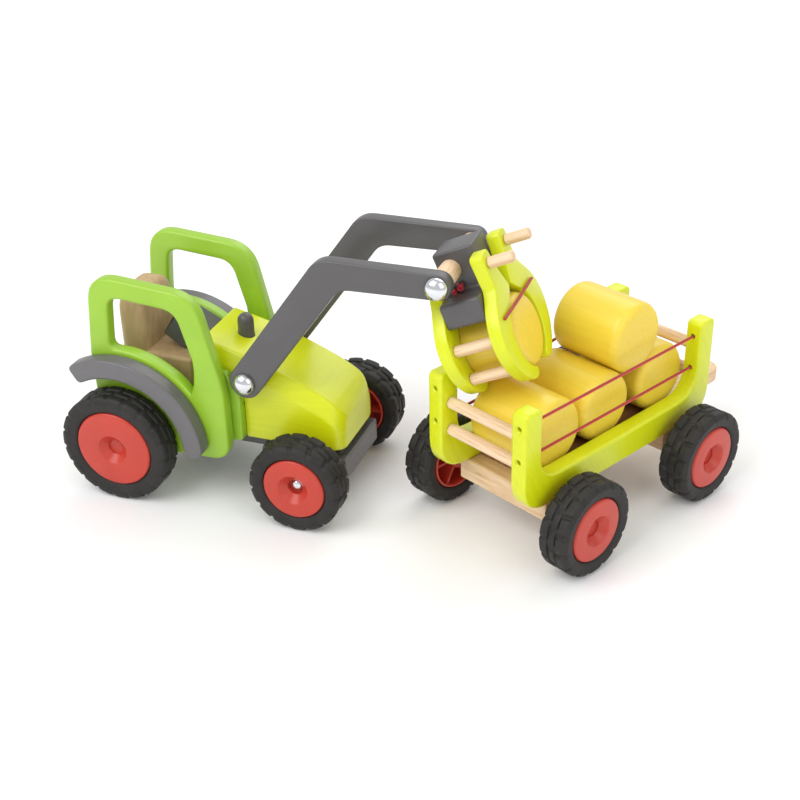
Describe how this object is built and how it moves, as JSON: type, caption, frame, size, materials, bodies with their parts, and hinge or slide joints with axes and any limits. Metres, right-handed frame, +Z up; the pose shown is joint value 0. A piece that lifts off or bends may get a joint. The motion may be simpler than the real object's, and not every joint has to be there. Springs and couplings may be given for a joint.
{
  "type": "toy tractor with bale trailer",
  "caption": "Wooden toy tractor with a front loader whose spring-closed jaws hold a round bale, beside a low four-wheeled trailer loaded with more bales.",
  "frame": {"origin": "centre of the bounding box at floor level", "axes": "+X forward along the tractor, the set's longest side; +Y to the tractor's left; +Z up"},
  "size_m": [0.4422, 0.2532, 0.2018],
  "materials": {
    "cab_green": "satin lacquer over green stain",
    "lime": "satin lacquer over yellow-green stain",
    "grey": "satin lacquer over dark grey stain",
    "fender_grey": "satin lacquer over grey stain",
    "seat_wood": "clear satin lacquer",
    "floor_wood": "clear satin lacquer",
    "pale_wood": "bare sanded",
    "straw": "satin lacquer over straw-yellow stain",
    "tyre": "matte",
    "rim": "gloss",
    "steel": "polished",
    "cord": "braided elastic"
  },
  "bodies": {
    "tractor": {"chassis": "grey", "cab_body": "cab_green", "hood": "lime", "exhaust": "grey", "cab_side_left": "cab_green", "cab_side_right": "cab_green", "fender_left": "fender_grey", "fender_right": "fender_grey", "seat": "seat_wood", "steering_console": "grey", "front_axle": "steel", "rear_axle": "steel", "lift_pivot_rod": "steel"},
    "front_left_wheel": {"front_left_tyre": "tyre", "front_left_rim": "rim"},
    "front_right_wheel": {"front_right_tyre": "tyre", "front_right_rim": "rim"},
    "rear_left_wheel": {"rear_left_tyre": "tyre", "rear_left_rim": "rim"},
    "rear_right_wheel": {"rear_right_tyre": "tyre", "rear_right_rim": "rim"},
    "loader_arms": {"loader_arm_left": "grey", "loader_arm_right": "grey", "gripper_dowel": "pale_wood", "gripper_cap_left": "steel", "gripper_cap_right": "steel"},
    "gripper": {"gripper_head": "grey", "gripper_bale": "straw", "jaw_elastic": "cord"},
    "jaw_left": {"jaw_left_front": "lime", "jaw_left_rear": "lime", "jaw_left_upper_dowel": "pale_wood", "jaw_left_lower_dowel": "pale_wood", "jaw_left_peg": "pale_wood"},
    "jaw_right": {"jaw_right_front": "lime", "jaw_right_rear": "lime", "jaw_right_upper_dowel": "pale_wood", "jaw_right_lower_dowel": "pale_wood", "jaw_right_peg": "pale_wood"},
    "trailer": {"trailer_floor": "floor_wood", "trailer_front_axle_beam": "pale_wood", "trailer_rear_axle_beam": "pale_wood", "trailer_side_left": "lime", "trailer_side_right": "lime", "trailer_cord_left": "cord", "trailer_cord_right": "cord", "trailer_front_upper_rail": "pale_wood", "trailer_front_lower_rail": "pale_wood", "trailer_rear_upper_rail": "pale_wood", "trailer_rear_lower_rail": "pale_wood", "trailer_drawbar": "pale_wood", "trailer_bale_front": "straw", "trailer_bale_middle": "straw", "trailer_bale_rear": "straw"},
    "trailer_front_left_wheel": {"trailer_front_left_wheel": "tyre"},
    "trailer_front_right_wheel": {"trailer_front_right_wheel": "tyre"},
    "trailer_rear_left_wheel": {"trailer_rear_left_wheel": "tyre"},
    "trailer_rear_right_wheel": {"trailer_rear_right_wheel": "tyre"},
    "top_bale": {"trailer_bale_top": "straw"}
  },
  "joints": [
    {"name": "front_left_wheel_spin", "type": "hinge", "parent": "tractor", "child": "front_left_wheel", "pos_m": [-0.04829, 0.00745, 0.0325], "axis": [0, 1, 0], "continuous": true},
    {"name": "front_right_wheel_spin", "type": "hinge", "parent": "tractor", "child": "front_right_wheel", "pos_m": [-0.04829, -0.10655, 0.0325], "axis": [0, 1, 0], "continuous": true},
    {"name": "rear_left_wheel_spin", "type": "hinge", "parent": "tractor", "child": "rear_left_wheel", "pos_m": [-0.18109, 0.00745, 0.04], "axis": [0, 1, 0], "continuous": true},
    {"name": "rear_right_wheel_spin", "type": "hinge", "parent": "tractor", "child": "rear_right_wheel", "pos_m": [-0.18109, -0.10655, 0.04], "axis": [0, 1, 0], "continuous": true},
    {"name": "loader_lift", "type": "hinge", "parent": "tractor", "child": "loader_arms", "pos_m": [-0.09039, -0.04955, 0.0928], "axis": [0, -1, 0], "range_deg": [0, 35]},
    {"name": "gripper_tilt", "type": "hinge", "parent": "loader_arms", "child": "gripper", "pos_m": [0.04421, -0.04955, 0.181], "axis": [0, -1, 0], "range_deg": [0, 15]},
    {"name": "jaw_left_swing", "type": "hinge", "parent": "gripper", "child": "jaw_left", "pos_m": [0.05316, -0.02255, 0.1609], "axis": [0.9135, 0, 0.4067], "range_deg": [0, 8], "stiffness_Nm_per_rad": 0.1, "springref_deg": -14.32},
    {"name": "jaw_right_swing", "type": "hinge", "parent": "gripper", "child": "jaw_right", "pos_m": [0.05316, -0.07655, 0.1609], "axis": [-0.9135, 0, -0.4067], "range_deg": [0, 8], "stiffness_Nm_per_rad": 0.1, "springref_deg": -14.32},
    {"name": "trailer_roll", "type": "slide", "parent": "tractor", "child": "trailer", "axis": [0.4555, 0.8902, 0], "range_m": [-0.0015, 0], "deforming": ["trailer_cord_left"]},
    {"name": "trailer_front_left_wheel_spin", "type": "hinge", "parent": "trailer", "child": "trailer_front_left_wheel", "pos_m": [0.0355, -0.03952, 0.0325], "axis": [-0.8902, 0.4555, 0], "continuous": true},
    {"name": "trailer_front_right_wheel_spin", "type": "hinge", "parent": "trailer", "child": "trailer_front_right_wheel", "pos_m": [0.14233, -0.09419, 0.0325], "axis": [-0.8902, 0.4555, 0], "continuous": true},
    {"name": "trailer_rear_left_wheel_spin", "type": "hinge", "parent": "trailer", "child": "trailer_rear_left_wheel", "pos_m": [0.09058, 0.06811, 0.0325], "axis": [-0.8902, 0.4555, 0], "continuous": true},
    {"name": "trailer_rear_right_wheel_spin", "type": "hinge", "parent": "trailer", "child": "trailer_rear_right_wheel", "pos_m": [0.1974, 0.01344, 0.0325], "axis": [-0.8902, 0.4555, 0], "continuous": true},
    {"name": "top_bale_lift", "type": "slide", "parent": "trailer", "child": "top_bale", "axis": [0, 0, 1], "range_m": [0, 0.06]}
  ]
}
